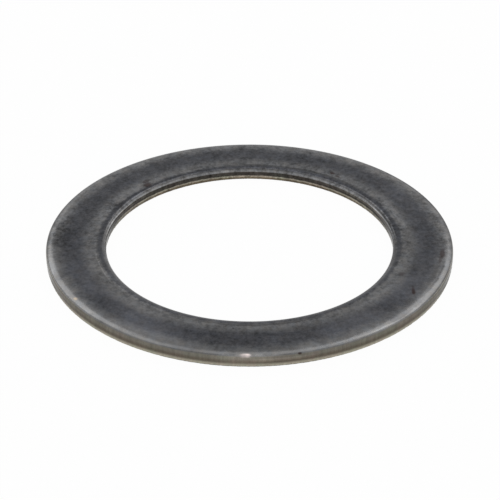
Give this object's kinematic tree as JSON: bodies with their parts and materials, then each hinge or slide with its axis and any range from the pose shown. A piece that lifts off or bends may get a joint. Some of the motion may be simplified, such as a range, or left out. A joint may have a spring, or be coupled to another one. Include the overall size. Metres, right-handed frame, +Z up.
{
  "type": "washer",
  "caption": "Flat ring washer punched from blackened steel sheet, with rolled upper edges, for spacing or for spreading load round a shaft or bolt.",
  "frame": {"origin": "centre of the bore, in the plane of the underside that the ring rests on", "axes": "+Z up along the bore's axis, towards the face with the rolled edges; +X to the right and +Y away in the picture's view"},
  "size_m": [0.04, 0.04, 0.0012],
  "materials": {
    "blackened_steel": "blackened and oiled sheet steel, satin to dull, rubbed brighter along the edges and round the bore"
  },
  "bodies": {
    "root": {"washer": "blackened_steel"}
  },
  "joints": []
}
